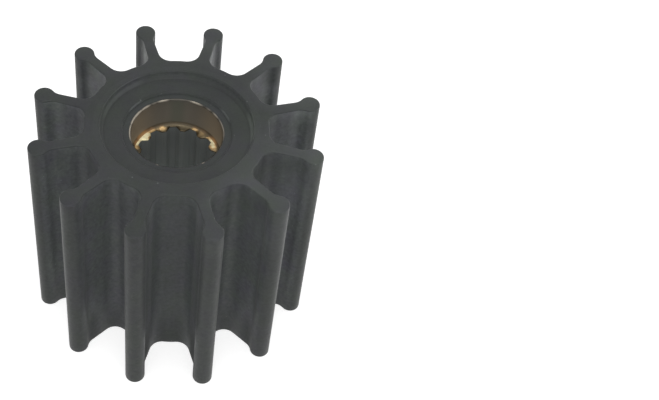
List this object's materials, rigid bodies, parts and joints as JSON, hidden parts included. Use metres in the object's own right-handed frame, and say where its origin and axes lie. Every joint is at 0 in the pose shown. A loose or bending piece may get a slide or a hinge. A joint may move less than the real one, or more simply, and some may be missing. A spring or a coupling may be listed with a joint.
{
  "type": "rubber pump impeller",
  "caption": "Flexible rubber pump impeller: long radial vanes with round tip beads on a hub, moulded round a brass insert with a splined shaft bore and a counterbore at one end.",
  "frame": {"origin": "centre of the underside, on the axis of rotation", "axes": "+Z along the axis of rotation, from the end where the shaft enters to the end with the counterbore; a pocket between two vanes faces +X"},
  "size_m": [0.0554, 0.0554, 0.0476],
  "materials": {
    "rubber": "satin charcoal moulded rubber",
    "brass": "machined brass, dulled on the counterbore wall"
  },
  "bodies": {
    "root": {"rubber_body": "rubber", "brass_insert": "brass"}
  },
  "joints": []
}
